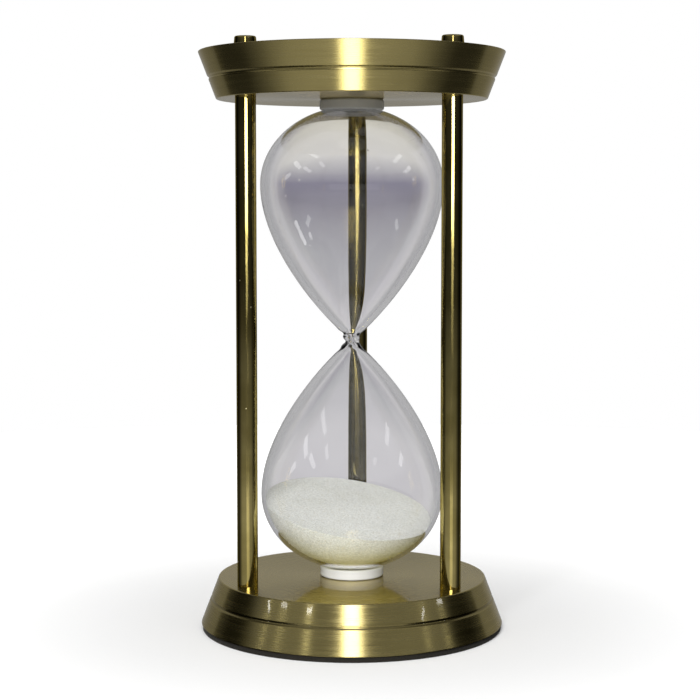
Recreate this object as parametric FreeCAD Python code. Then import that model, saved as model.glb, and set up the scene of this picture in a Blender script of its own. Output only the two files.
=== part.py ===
# Hourglass with a brass stand: two coned plates, three pillars and one blown glass.
# Units are millimetres. +Z is up. The origin is the centre of the pad's underside, where the
# hourglass stands. The rear pillar lies on +Y; the other two stand in front, left and right.
import FreeCAD, Part
import math
import os

V = FreeCAD.Vector
ORIGIN = V(0, 0, 0)
UP = V(0, 0, 1)

# ---------------------------------------------------------------- driving dimensions
# plates (both are the same casting; the top one is turned over)
plate_flare = 7.0              # how much wider the outer face is than the deck
plate_height = 18.3
deck_margin = 3.7              # deck outside the pillars
skirt_wall = 3.0               # measured level, across the cone
deck_thickness = 2.5
plate_edge_round = 0.4
groove_from_big_face = 10.0    # turned line round the cone
groove_radius = 0.75

# closing discs of the plates, and the pad
cover_thickness = 1.2
cover_ledge = 1.2              # width that the disc rests on
cover_clearance = 0.05
pad_thickness = 2.1
pad_inset = 0.6                # how far the pad stays inside the rim

# pillars: tubes pulled tight by threaded rods
pillar_length = 188.3          # seen length between the two decks
pillar_radius = 4.0
pillar_bore_gap = 0.3          # tube round its rod
glass_to_pillar = 5.3          # room between the bulbs and the pillars
pillar_sink = 1.0              # depth of the spot face that the tube stands in
pillar_clearance = 0.05
boss_radius = 7.0
rod_radius = 2.5
rod_clearance = 0.25           # rod in a plain hole
rod_tail = 1.0                 # what stands out under the nut
rod_floor_gap = 0.8            # between the rod and the closing disc
thread_clearance = 0.05

# fasteners
nut_across_flats = 8.0
nut_height = 4.0
washer_radius = 5.0
washer_thickness = 1.0
cap_base_radius = 4.5
cap_top_radius = 4.1
cap_height = 4.4
cap_edge_round = 0.6
cap_shank_radius = 3.5
cap_shank_length = 8.0
cap_crown = 1.3                # solid metal over the blind hole
cap_rod_gap = 0.4              # between the rod's end and the blind end

# glass: one blown piece, two equal bulbs
bulb_radius = 36.0
dome_height = 30.5             # from the widest place to the pole
glass_wall = 1.4
neck_radius = 2.9
neck_bore_radius = 0.8
neck_fillet = 4.5
flank_angle = 48.0             # wall against the axis, where it leaves the neck
flank_hold_bulb = 0.80         # pull of the flank curve at its bulb end
flank_hold_neck = 0.30         # and at its neck end
stub_radius = 4.5              # ends of the tube that it was blown from, fused shut
stub_bore_radius = 3.1
stub_length = 7.5              # from the pole to the tip

# white seats that hold the glass
seat_land = 0.9                # level rim outside the dish
seat_height = 4.1
seat_edge_round = 0.4
seat_spigot_radius = 7.5
seat_clearance = 0.05          # spigot in the deck's hole
glass_to_deck = 2.65           # from the pole to the deck
glass_running_gap = 0.2        # glass over the dished seat
stub_running_gap = 0.3         # stub in the seat's bore

# sand, settled with a slope
sand_depth = 22.65             # on the axis, over the inside of the lower pole
sand_slope = 13.8
sand_downhill = -47.0          # compass angle of the low side, from +X
sand_gap = 0.1

# ---------------------------------------------------------------- sizes that follow
# radii, from the glass outwards
pillar_circle_radius = bulb_radius + glass_to_pillar + pillar_radius
plate_small_radius = pillar_circle_radius + pillar_radius + deck_margin
plate_big_radius = plate_small_radius + plate_flare
pillar_bore_radius = rod_radius + pillar_bore_gap
cover_radius = plate_big_radius - skirt_wall + cover_ledge
cavity_small_radius = plate_small_radius - skirt_wall
rod_hole_radius = rod_radius + rod_clearance
thread_hole_radius = rod_radius + thread_clearance
shank_hole_radius = cap_shank_radius + rod_clearance
seat_bore_radius = stub_radius + stub_running_gap

# heights, from the pad upwards
base_big_z = pad_thickness
base_deck_z = base_big_z + plate_height
top_deck_z = base_deck_z + pillar_length
top_big_z = top_deck_z + plate_height
neck_z = (base_deck_z + top_deck_z) / 2
pole_height = pillar_length / 2 - glass_to_deck
widest_height = pole_height - dome_height
stub_end = pole_height + stub_length
rod_low_z = base_big_z + cover_thickness + rod_floor_gap
nut_low_z = rod_low_z + rod_tail
washer_low_z = nut_low_z + nut_height
boss_low_z = washer_low_z + washer_thickness
cap_blind_z = top_big_z + cap_height - cap_crown
rod_high_z = cap_blind_z - cap_rod_gap
pillar_angles = {"rear": 90.0, "left": 210.0, "right": 330.0}


# ---------------------------------------------------------------- helpers
def cylinder(radius, low, high, centre=ORIGIN):
    """Upright cylinder between two heights."""
    return Part.makeCylinder(radius, high - low, V(centre.x, centre.y, low), UP)


def place_on_circle(angle):
    """Point of the pillar circle at a compass angle."""
    turn = math.radians(angle)
    return V(pillar_circle_radius * math.cos(turn), pillar_circle_radius * math.sin(turn), 0)


def revolve(edges):
    """Solid of revolution about Z from the edges of a closed outline in the XZ plane."""
    face = Part.Face(Part.Wire(Part.__sortEdges__(edges)))
    solid = face.revolve(ORIGIN, UP, 360)
    return solid if isinstance(solid, Part.Solid) else Part.Solid(solid.Shells[0])


def line(a, b):
    return Part.makeLine(V(a[0], 0, a[1]), V(b[0], 0, b[1]))


def polygon(points):
    """Closed run of straight edges through (radius, height) points."""
    return [line(a, b) for a, b in zip(points, points[1:] + points[:1])]


def arc(a, middle, b):
    return Part.Arc(V(a[0], 0, a[1]), V(middle[0], 0, middle[1]), V(b[0], 0, b[1])).toShape()


def turned_over(shape):
    """The same piece upside down, for the other end of the hourglass."""
    flipped = shape.copy()
    flipped.rotate(V(0, 0, neck_z), V(0, 1, 0), 180)
    return flipped


def round_edges(solid, radius, heights):
    """Round the full circles that lie at the given heights and face outwards."""
    picked = []
    for edge in solid.Edges:
        circle = isinstance(edge.Curve, Part.Circle) and edge.Closed
        if circle and abs(edge.Curve.Center.x) + abs(edge.Curve.Center.y) < 1e-6:
            for height, ring in heights:
                same = abs(edge.Curve.Center.z - height) < 1e-4
                if same and abs(edge.Curve.Radius - ring) < 1e-4:
                    picked.append(edge)
    return solid.makeFillet(radius, picked)


# ---------------------------------------------------------------- plates
def plate_blank():
    """Hollow frustum, open at its big face, with the turned line and the disc's rebate."""
    low, deck = base_big_z, base_deck_z
    cone = revolve(polygon([(0, low), (plate_big_radius, low), (plate_small_radius, deck), (0, deck)]))
    edges = [(low, plate_big_radius), (deck, plate_small_radius)]
    cone = round_edges(cone, plate_edge_round, edges)
    shrink = (plate_big_radius - plate_small_radius) / plate_height
    groove_z = low + groove_from_big_face
    groove_r = plate_big_radius - shrink * groove_from_big_face
    cone = cone.cut(Part.makeTorus(groove_r, groove_radius, V(0, 0, groove_z), UP))
    ceiling = deck - deck_thickness
    ledge = low + cover_thickness
    inner = plate_big_radius - skirt_wall
    ceiling_r = cavity_small_radius + shrink * deck_thickness
    hollow = revolve(polygon([(0, low), (inner, low), (ceiling_r, ceiling), (0, ceiling)]))
    rebate = cylinder(cover_radius + cover_clearance, low, ledge)
    return cone.cut(hollow).cut(rebate)


def finish_plate(blank, boss_end, boss_hole_cuts):
    """Add the three bosses inside, then the seat's hole and every pillar's holes."""
    for angle in pillar_angles.values():
        centre = place_on_circle(angle)
        boss = cylinder(boss_radius, boss_end, base_deck_z - deck_thickness / 2, centre)
        blank = blank.fuse(boss.common(cone_core()))
    blank = blank.removeSplitter()
    blank = blank.cut(cylinder(seat_spigot_radius + seat_clearance, boss_end, base_deck_z + 1))
    for angle in pillar_angles.values():
        centre = place_on_circle(angle)
        blank = blank.cut(cylinder(rod_hole_radius, base_big_z, base_deck_z, centre))
        socket = cylinder(pillar_radius + pillar_clearance, base_deck_z - pillar_sink, base_deck_z + 1, centre)
        blank = blank.cut(socket)
        for radius, low, high in boss_hole_cuts:
            blank = blank.cut(cylinder(radius, low, high, centre))
    return blank


def cone_core():
    """Room that a boss may fill: inside the skirt's middle, so it never shows outside."""
    half = skirt_wall / 2
    big = plate_big_radius - half
    small = plate_small_radius - half
    return revolve(polygon([(0, base_big_z), (big, base_big_z), (small, base_deck_z), (0, base_deck_z)]))


def base_plate():
    return finish_plate(plate_blank(), boss_low_z, [])


def top_plate():
    """Same casting, with longer bosses bored for the shanks of the cap nuts."""
    ledge = base_big_z + cover_thickness
    shank_end = base_big_z + cap_shank_length + rod_clearance
    plate = finish_plate(plate_blank(), ledge, [(shank_hole_radius, base_big_z, shank_end)])
    return turned_over(plate)


def cover(hole_radius):
    """Disc that closes a plate, with holes over the pillars where a radius is given."""
    disc = cylinder(cover_radius, base_big_z, base_big_z + cover_thickness)
    if hole_radius:
        for angle in pillar_angles.values():
            centre = place_on_circle(angle)
            disc = disc.cut(cylinder(hole_radius, 0, base_deck_z, centre))
    return disc


def base_pad():
    return cylinder(plate_big_radius - pad_inset, 0, pad_thickness)


# ---------------------------------------------------------------- pillars and fasteners
def pillar(centre):
    low, high = base_deck_z - pillar_sink, top_deck_z + pillar_sink
    tube = cylinder(pillar_radius, low, high, centre)
    return tube.cut(cylinder(pillar_bore_radius, low, high, centre))


def tie_rod(centre):
    return cylinder(rod_radius, rod_low_z, rod_high_z, centre)


def cap_nut(centre):
    """Tapered blind head with a threaded shank that goes down into the boss."""
    low, high = top_big_z, top_big_z + cap_height
    head = polygon([(0, low), (cap_base_radius, low), (cap_top_radius, high), (0, high)])
    head = round_edges(revolve(head), cap_edge_round, [(high, cap_top_radius)])
    nut = head.fuse(cylinder(cap_shank_radius, low - cap_shank_length, low)).removeSplitter()
    nut = nut.cut(cylinder(thread_hole_radius, low - cap_shank_length, cap_blind_z))
    nut.translate(centre)
    return nut


def base_nut(centre):
    """Hexagon nut with chamfered corners."""
    corner_radius = nut_across_flats / math.sqrt(3)
    corners = [V(corner_radius * math.cos(math.radians(60 * k)),
                 corner_radius * math.sin(math.radians(60 * k)), nut_low_z) for k in range(6)]
    hexagon = Part.Face(Part.makePolygon(corners + corners[:1])).extrude(UP * nut_height)
    chamfer = corner_radius - nut_across_flats / 2
    high = nut_low_z + nut_height
    barrel = revolve(polygon([(0, nut_low_z), (corner_radius - chamfer, nut_low_z),
                              (corner_radius, nut_low_z + chamfer / 2), (corner_radius, high - chamfer / 2),
                              (corner_radius - chamfer, high), (0, high)]))
    nut = hexagon.common(barrel).cut(cylinder(thread_hole_radius, nut_low_z, high))
    nut.translate(centre)
    return nut


def base_washer(centre):
    low, high = washer_low_z, washer_low_z + washer_thickness
    ring = cylinder(washer_radius, low, high, centre)
    return ring.cut(cylinder(rod_hole_radius, low, high, centre))


# ---------------------------------------------------------------- glass and sand
def dome_at(radius, wide, tall):
    """Height of an elliptic dome over the widest place, at a given radius."""
    return tall * math.sqrt(1 - (radius / wide) ** 2)


def dome_edge(wide, tall, start_radius, side):
    """Quarter of an ellipse from the tube end to the widest place; side is 1 above, -1 below."""
    centre = V(0, 0, side * widest_height)
    if wide >= tall:
        curve = Part.Ellipse(centre + V(wide, 0, 0), centre + V(0, 0, side * tall), centre)
    else:
        curve = Part.Ellipse(centre + V(0, 0, side * tall), centre + V(wide, 0, 0), centre)
    pole_side = centre + V(start_radius, 0, side * dome_at(start_radius, wide, tall))
    first = curve.parameter(centre + V(wide, 0, 0))
    last = curve.parameter(pole_side)
    if last < first:
        first, last = last, first
    if last - first > math.pi:
        first, last = last, first + 2 * math.pi
    return curve.toShape(first, last)


def flank_start(throat):
    """Where the wall leaves the neck's round, for a neck of the given radius."""
    lean = math.radians(flank_angle)
    sweep = neck_radius + neck_fillet - throat
    return (throat + sweep - sweep * math.cos(lean), sweep * math.sin(lean))


def flank_edge(wide, throat, side):
    """Bezier curve from the widest place to the neck's round, level with both walls."""
    lean = math.radians(flank_angle)
    start = flank_start(throat)
    corner_z = start[1] + (wide - start[0]) / math.tan(lean)
    hold_bulb = widest_height + (corner_z - widest_height) * flank_hold_bulb
    hold_neck = (start[0] + (wide - start[0]) * flank_hold_neck,
                 start[1] + (corner_z - start[1]) * flank_hold_neck)
    poles = [(wide, widest_height), (wide, hold_bulb), hold_neck, start]
    curve = Part.BezierCurve()
    curve.setPoles([V(x, 0, side * z) for x, z in poles])
    return curve.toShape()


def tube_end(tube_radius, wide, tall, end, side):
    """Straight piece of a tube end and the half round that closes it."""
    root = side * (widest_height + dome_at(tube_radius, wide, tall))
    bend = side * (end - tube_radius)
    half = tube_radius * math.sqrt(0.5)
    return [line((tube_radius, root), (tube_radius, bend)),
            arc((tube_radius, bend), (half, bend + side * half), (0, side * end))]


def half_wall(wide, tall, throat, tube_radius, end, side):
    """One wall of one bulb, inner or outer, from the closed tube end to the neck's round."""
    edges = tube_end(tube_radius, wide, tall, end, side)
    edges.append(dome_edge(wide, tall, tube_radius, side))
    edges.append(flank_edge(wide, throat, side))
    return edges


def glass_bulb():
    """Both bulbs, the neck between them and the two closed tube ends, as one hollow piece."""
    inner_end = stub_end - (stub_radius - stub_bore_radius)
    outer = (bulb_radius, dome_height, neck_radius, stub_radius, stub_end)
    inner = (bulb_radius - glass_wall, dome_height - glass_wall, neck_bore_radius,
             stub_bore_radius, inner_end)
    edges = []
    for wall in (outer, inner):
        throat = wall[2]
        start = flank_start(throat)
        edges.append(arc(start, (throat, 0), (start[0], -start[1])))
        for side in (1, -1):
            edges += half_wall(*wall, side)
    for side in (1, -1):
        edges.append(line((0, side * stub_end), (0, side * inner_end)))
    glass = revolve(edges)
    glass.translate(V(0, 0, neck_z))
    return glass


def sand():
    """What fills the lower bulb up to a sloping top."""
    wide = bulb_radius - glass_wall - sand_gap
    tall = dome_height - glass_wall - sand_gap
    throat = neck_bore_radius - sand_gap
    tube_radius = stub_bore_radius - sand_gap
    end = stub_end - (stub_radius - stub_bore_radius) - sand_gap
    start = flank_start(throat)
    edges = half_wall(wide, tall, throat, tube_radius, end, -1)
    edges.append(line((start[0], -start[1]), (0, -start[1])))
    edges.append(line((0, -start[1]), (0, -end)))
    filling = revolve(edges)
    surface = -(widest_height + tall + sand_gap) + sand_depth
    room = 4 * bulb_radius
    above = Part.makeBox(room, room, room, V(-room / 2, -room / 2, 0))
    downhill = math.radians(sand_downhill)
    above.rotate(ORIGIN, V(-math.sin(downhill), math.cos(downhill), 0), sand_slope)
    above.translate(V(0, 0, surface))
    filling = filling.cut(above)
    filling.translate(V(0, 0, neck_z))
    return filling


def lower_seat():
    """Dished ring on the deck, with a spigot through the deck and a bore for the tube end."""
    pole = neck_z - pole_height
    centre = pole + dome_height
    wide = bulb_radius + glass_running_gap
    tall = dome_height + glass_running_gap
    bore = seat_bore_radius
    top = base_deck_z + seat_height
    rim = wide * math.sqrt(1 - ((centre - top) / tall) ** 2)
    outside = rim + seat_land
    low = base_deck_z - deck_thickness
    middle = (rim + bore) / 2
    edges = [arc((bore, centre - dome_at(bore, wide, tall)),
                 (middle, centre - dome_at(middle, wide, tall)), (rim, top))]
    outline = [(rim, top), (outside, top), (outside, base_deck_z), (seat_spigot_radius, base_deck_z),
               (seat_spigot_radius, low), (bore, low), (bore, centre - dome_at(bore, wide, tall))]
    edges += [line(a, b) for a, b in zip(outline, outline[1:])]
    edge_round = min(seat_edge_round, 0.8 * seat_land)
    return round_edges(revolve(edges), edge_round, [(top, outside), (base_deck_z, outside)])


# ---------------------------------------------------------------- all the pieces
def all_pieces():
    base_cover = cover(None)
    top_cover = turned_over(cover(shank_hole_radius))
    pieces = {"base_plate": base_plate(), "base_cover": base_cover, "base_pad": base_pad(),
              "top_plate": top_plate(), "top_cover": top_cover}
    for name, angle in pillar_angles.items():
        centre = place_on_circle(angle)
        pieces["pillar_" + name] = pillar(centre)
        pieces["tie_rod_" + name] = tie_rod(centre)
        pieces["cap_nut_" + name] = cap_nut(centre)
        pieces["base_nut_" + name] = base_nut(centre)
        pieces["base_washer_" + name] = base_washer(centre)
    seat = lower_seat()
    pieces["lower_seat"] = seat
    pieces["upper_seat"] = turned_over(seat)
    pieces["glass_bulb"] = glass_bulb()
    pieces["sand"] = sand()
    return pieces


os.makedirs("parts", exist_ok=True)
for node, shape in all_pieces().items():
    shape.exportStep("parts/" + node + ".step")
    size = shape.BoundBox
    print("%-18s solids %d valid %s volume %.1f z %.2f to %.2f" % (
        node, len(shape.Solids), shape.isValid(), shape.Volume, size.ZMin, size.ZMax))
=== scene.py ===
# %% [markdown]
# # A brass hourglass
# The hourglass is two coned brass plates, three polished pillars pulled tight by hidden rods, and one
# blown glass that turns in two soft white seats, with fine sand in its lower bulb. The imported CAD
# model is the frame: it says where every piece is, so each piece made here takes its place from it.

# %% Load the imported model
import math

import bmesh
import bpy
from mathutils import Matrix, Quaternion, Vector, noise
from mathutils.geometry import interpolate_bezier


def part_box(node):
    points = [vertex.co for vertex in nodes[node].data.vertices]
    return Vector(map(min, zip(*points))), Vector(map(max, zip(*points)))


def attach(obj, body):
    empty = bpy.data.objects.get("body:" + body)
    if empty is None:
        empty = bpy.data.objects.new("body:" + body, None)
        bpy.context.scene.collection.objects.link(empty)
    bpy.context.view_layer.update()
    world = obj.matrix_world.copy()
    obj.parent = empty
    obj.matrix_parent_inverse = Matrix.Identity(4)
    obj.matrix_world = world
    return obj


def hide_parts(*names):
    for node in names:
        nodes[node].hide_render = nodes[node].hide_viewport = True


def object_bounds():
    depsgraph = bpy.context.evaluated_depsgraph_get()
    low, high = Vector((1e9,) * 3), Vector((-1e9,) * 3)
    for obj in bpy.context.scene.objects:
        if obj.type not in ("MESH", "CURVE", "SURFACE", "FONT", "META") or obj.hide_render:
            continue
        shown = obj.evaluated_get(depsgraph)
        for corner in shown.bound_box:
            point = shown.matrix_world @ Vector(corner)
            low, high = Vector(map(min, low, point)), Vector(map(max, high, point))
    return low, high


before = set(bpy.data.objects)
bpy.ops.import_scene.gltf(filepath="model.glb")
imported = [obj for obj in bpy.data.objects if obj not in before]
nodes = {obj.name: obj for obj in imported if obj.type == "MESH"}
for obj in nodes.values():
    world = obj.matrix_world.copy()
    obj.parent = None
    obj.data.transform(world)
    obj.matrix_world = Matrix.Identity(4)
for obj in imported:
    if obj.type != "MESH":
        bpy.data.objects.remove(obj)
cad_low, cad_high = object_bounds()
MM = 0.001
print("CAD pieces:", len(nodes), "height in mm:", round(cad_high.z / MM, 1))

# %% [markdown]
# ## Key heights and radii
# The boxes of the CAD pieces give the heights of the two decks and the middle of the neck. What a box
# can't say, such as how much a plate flares or how thick the glass is, is a maker's number here.

# %% Key heights and radii
base_low, base_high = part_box("base_plate")
top_low, top_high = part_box("top_plate")
glass_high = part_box("glass_bulb")[1]
base_rim_z, base_deck_z = base_low.z, base_high.z
top_deck_z, top_rim_z = top_low.z, top_high.z
neck_z = (base_deck_z + top_deck_z) / 2
plate_rim_radius = 60.0 * MM
plate_deck_radius = 53.0 * MM
plate_height = base_deck_z - base_rim_z
skirt_wall = 3.0 * MM
deck_thickness = 2.5 * MM
SIDES = ("rear", "left", "right")


def pillar_centre(side):
    """Axis of a pillar, from the middle of its CAD box."""
    low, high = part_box("pillar_" + side)
    return Vector(((low.x + high.x) / 2, (low.y + high.y) / 2, 0.0))


pillar_axes = {side: pillar_centre(side) for side in SIDES}
print("decks at", round(base_deck_z, 4), round(top_deck_z, 4), "neck at", round(neck_z, 4))

# %% [markdown]
# ## A lathe in code
# Plates, pillars, nuts, seats and glass are all round, so they could all be cut on a lathe. The lathe
# here takes a half section, drawn as a few corners, rounds the corners that a maker would break with
# a file, and spins it. A section that starts and ends on the axis closes itself; a ring's section is
# joined end to end. Rounding comes before spinning, which keeps every edge even all the way round.

# %% The lathe
UP = (0.0, 0.0, 1.0)
MERGE = 1e-7
ROUNDING_STEPS = 4


def draw_section(bm, corners, axis, closed):
    """Edges through (radius, height, rounding) corners, with the rounded ones bevelled."""
    verts = [bm.verts.new((axis.x + radius, axis.y, height)) for radius, height, _ in corners]
    ends = verts[1:] + verts[:1] if closed else verts[1:]
    for a, b in zip(verts, ends):
        bm.edges.new((a, b))
    for vert, corner in zip(verts, corners):
        if corner[2]:
            bmesh.ops.bevel(bm, geom=[vert], offset=corner[2], segments=ROUNDING_STEPS, profile=0.5,
                            affect="VERTICES", material=-1)


def spin_section(bm, axis, segments):
    """A full turn of what is drawn, closed at the seam and the poles, with its faces outwards."""
    bmesh.ops.spin(bm, geom=bm.verts[:] + bm.edges[:], cent=(axis.x, axis.y, 0.0), axis=UP,
                   dvec=(0.0, 0.0, 0.0), angle=2 * math.pi, steps=segments, use_merge=True,
                   use_normal_flip=False, use_duplicate=False)
    bmesh.ops.remove_doubles(bm, verts=bm.verts, dist=MERGE)
    bmesh.ops.recalc_face_normals(bm, faces=bm.faces)


def turned(corners, axis=Vector(), closed=False, segments=96):
    """A bmesh of one turned piece."""
    bm = bmesh.new()
    draw_section(bm, corners, axis, closed)
    spin_section(bm, axis, segments)
    return bm


print("lathe ready: faces round a rounded corner:", ROUNDING_STEPS)

# %% [markdown]
# ## From bmesh to a piece of the hourglass
# Each piece is an object at the origin with its place in its mesh. It rides on a body of the model,
# takes its finish, and hides the CAD piece that it stands for. Flat and rounded faces meet cleanly
# when the normals are weighted by face area, and an angle marks real edges.

# %% Make a piece
SHARP_ANGLE = math.radians(38)
FACE_WEIGHT = 90


def smooth_piece(piece):
    """Smooth shading that keeps flats flat and true edges sharp."""
    piece.data.shade_smooth()
    piece.data.set_sharp_from_angle(angle=SHARP_ANGLE)
    flats = piece.modifiers.new("flats", "WEIGHTED_NORMAL")
    flats.keep_sharp = True
    flats.weight = FACE_WEIGHT


def make_piece(bm, name, finish, slot, body, *replaced):
    """Turn a bmesh into a finished piece that rides on a body."""
    mesh = bpy.data.meshes.new(name)
    bm.to_mesh(mesh)
    bm.free()
    mesh.materials.append(finish)
    piece = bpy.data.objects.new(name, mesh)
    bpy.context.scene.collection.objects.link(piece)
    smooth_piece(piece)
    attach(piece, body)
    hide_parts(*replaced)
    print(name, "faces:", len(mesh.polygons))
    return piece


print("edges over", round(math.degrees(SHARP_ANGLE)), "degrees stay sharp")

# %% [markdown]
# ## A few words for building finishes
# A finish is a small graph of nodes. These helpers keep each one short enough to read as a recipe:
# `add` makes a node and plugs in its inputs, and the others name the steps that come back often.

# %% Helpers for finishes
def add(tree, kind, inputs=None, **settings):
    """A shader node with its settings and inputs; an input may be a value or another node's output."""
    node = tree.nodes.new("ShaderNode" + kind)
    for key, value in settings.items():
        setattr(node, key, value)
    for key, value in (inputs or {}).items():
        if isinstance(value, bpy.types.NodeSocket):
            tree.links.new(value, node.inputs[key])
        else:
            node.inputs[key].default_value = value
    return node


def maths(tree, operation, *values):
    """One sum on numbers."""
    return add(tree, "Math", dict(enumerate(values)), operation=operation).outputs[0]


def spread(tree, value, low, high, to_low=0.0, to_high=1.0, smooth=True):
    """Map a range to another, with soft ends."""
    kind = "SMOOTHSTEP" if smooth else "LINEAR"
    inputs = {"Value": value, "From Min": low, "From Max": high, "To Min": to_low, "To Max": to_high}
    return add(tree, "MapRange", inputs, interpolation_type=kind).outputs["Result"]


def blend_colours(tree, factor, first, second, mode="MIX"):
    """Mix two colours."""
    inputs = {0: factor, 6: first, 7: second}
    return add(tree, "Mix", inputs, data_type="RGBA", blend_type=mode).outputs[2]


# %% Noise, relief and a new finish
def grain(tree, vector, scale, detail=2.0, roughness=0.5, **more):
    """Soft noise, as a number from 0 to 1."""
    inputs = {"Vector": vector, "Scale": scale, "Detail": detail, "Roughness": roughness}
    inputs.update(more.pop("inputs", {}))
    return add(tree, "TexNoise", inputs, **more).outputs["Fac"]


def relief(tree, height, distance, normal=None):
    """Bump of a given depth in metres."""
    inputs = {"Height": height, "Distance": distance, "Strength": 1.0}
    if normal is not None:
        inputs["Normal"] = normal
    return add(tree, "Bump", inputs).outputs["Normal"]


def bare_finish(name):
    """An empty material: its node tree, and the place on the piece."""
    material = bpy.data.materials.new(name)
    material.use_nodes = True
    tree = material.node_tree
    tree.nodes.clear()
    return material, tree, add(tree, "TexCoord").outputs["Object"]


def new_finish(name):
    """A finish to fill in: its node tree, its shader, and the place on the piece."""
    material, tree, place = bare_finish(name)
    shader = add(tree, "BsdfPrincipled")
    add(tree, "OutputMaterial", {"Surface": shader.outputs["BSDF"]})
    return material, tree, shader, place


def colour(red, green, blue):
    """A linear colour with full alpha."""
    return (red, green, blue, 1.0)


def grey(value):
    """A grey with full alpha."""
    return (value, value, value, 1.0)


print("finish helpers ready, for example grey(0.5):", grey(0.5))

# %% [markdown]
# ## Brushed and polished brass
# The plates are antique brass: turned, brushed round and round with fine abrasive, darkened a little
# and lacquered. Brushing makes thousands of tiny grooves that run round the axis, so a light is drawn
# out across them, along the plate's section. That is what the tangent does here: it points across the
# grooves. Lines of noise in (radius, height) are the same all the way round, and a slow drift lets
# each line fade as a real stroke does. The turned groove is painted darker: partly patina, partly
# painted shade that stands in for the shade in its hollow, more on the base than on the top. The
# lacquer is a thin clear coat, which mirrors the windows sharply over the satin metal.

# %% Brass finishes
BRASS_LIGHT = colour(0.60, 0.50, 0.20)
BRASS_DEEP = colour(0.44, 0.36, 0.125)
# The patina colour, which also serves as painted shade in the turned groove.
BRASS_PATINA_AND_SHADE = colour(0.12, 0.095, 0.04)
FINE_STROKE = 0.30 * MM
BROAD_STROKE = 1.3 * MM
STROKE_RELIEF = 0.004 * MM


def round_lines(tree, place, width, drift):
    """Lines that run round the axis, about width metres wide."""
    flat = add(tree, "VectorMath", {0: place, 1: (1.0, 1.0, 0.0)}, operation="MULTIPLY").outputs[0]
    radius = add(tree, "VectorMath", {0: flat}, operation="LENGTH").outputs["Value"]
    parts = add(tree, "SeparateXYZ", {0: place}).outputs
    slow_y = maths(tree, "MULTIPLY", parts["Y"], drift)
    slow_x = maths(tree, "MULTIPLY", parts["X"], drift)
    section = add(tree, "CombineXYZ", {"X": radius, "Y": parts["Z"], "Z": slow_y}).outputs[0]
    return grain(tree, section, 1.0 / width, 2.0, 0.6, noise_dimensions="4D", inputs={"W": slow_x})


def across_grooves(tree, place):
    """Direction on the surface across grooves that run round the axis."""
    flat = add(tree, "VectorMath", {0: place, 1: (1.0, 1.0, 0.0)}, operation="MULTIPLY").outputs[0]
    around = add(tree, "VectorMath", {0: UP, 1: flat}, operation="CROSS_PRODUCT").outputs[0]
    normal = add(tree, "NewGeometry").outputs["Normal"]
    across = add(tree, "VectorMath", {0: normal, 1: around}, operation="CROSS_PRODUCT").outputs[0]
    return add(tree, "VectorMath", {0: across}, operation="NORMALIZE").outputs[0]


print("brush strokes in mm:", FINE_STROKE / MM, "and", BROAD_STROKE / MM)


# %% Brushed brass
def brushed_brass(name, groove_z, groove_shade_and_patina):
    """Satin brass with round brush lines; groove_z is the turned line that gets painted shade and patina.
    """
    material, tree, shader, place = new_finish(name)
    fine = round_lines(tree, place, FINE_STROKE, 0.03)
    broad = round_lines(tree, place, BROAD_STROKE, 0.02)
    cloud = grain(tree, place, 38.0, 3.0)
    height = add(tree, "SeparateXYZ", {0: place}).outputs["Z"]
    off_groove = maths(tree, "ABSOLUTE", maths(tree, "SUBTRACT", height, groove_z))
    # Painted shade in the turned groove, with some patina, darkest at the groove's middle.
    groove_shade_patina_mask = spread(tree, off_groove, 0.4 * MM, 0.9 * MM, groove_shade_and_patina, 0.0)
    strokes = maths(tree, "MULTIPLY_ADD", fine, 0.5, maths(tree, "MULTIPLY", broad, 0.5))
    metal = blend_colours(tree, spread(tree, strokes, 0.18, 0.82), BRASS_DEEP, BRASS_LIGHT)
    stain = spread(tree, cloud, 0.45, 0.75, 0.0, 0.22)
    patina_and_groove_shade = maths(tree, "MAXIMUM", stain, groove_shade_patina_mask)
    tinted = blend_colours(tree, patina_and_groove_shade, metal, BRASS_PATINA_AND_SHADE)
    tree.links.new(tinted, shader.inputs["Base Color"])
    tree.links.new(spread(tree, strokes, 0.3, 0.7, 0.20, 0.30), shader.inputs["Roughness"])
    tree.links.new(across_grooves(tree, place), shader.inputs["Tangent"])
    tree.links.new(relief(tree, strokes, STROKE_RELIEF), shader.inputs["Normal"])
    shader.inputs["Metallic"].default_value = 1.0
    shader.inputs["Anisotropic"].default_value = 0.85
    shader.inputs["Specular Tint"].default_value = colour(0.86, 0.80, 0.62)
    shader.inputs["Coat Weight"].default_value = 0.50
    shader.inputs["Coat Roughness"].default_value = 0.03
    return material


groove_from_rim = 10.0 * MM
# The last number is how strong the groove's painted shade and patina are on each plate.
base_brass = brushed_brass("brushed_brass_base", base_rim_z + groove_from_rim, 0.40)
top_brass = brushed_brass("brushed_brass_top", top_rim_z - groove_from_rim, 0.10)
print("groove from the rim in mm:", round(groove_from_rim / MM, 1))

# %% [markdown]
# ### Polished brass
# The pillars and the cap nuts are the same brass, polished to a mirror with a faint haze along the
# tube from the last polishing strokes, and a few tiny pits where the lacquer has caught dust.

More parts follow.
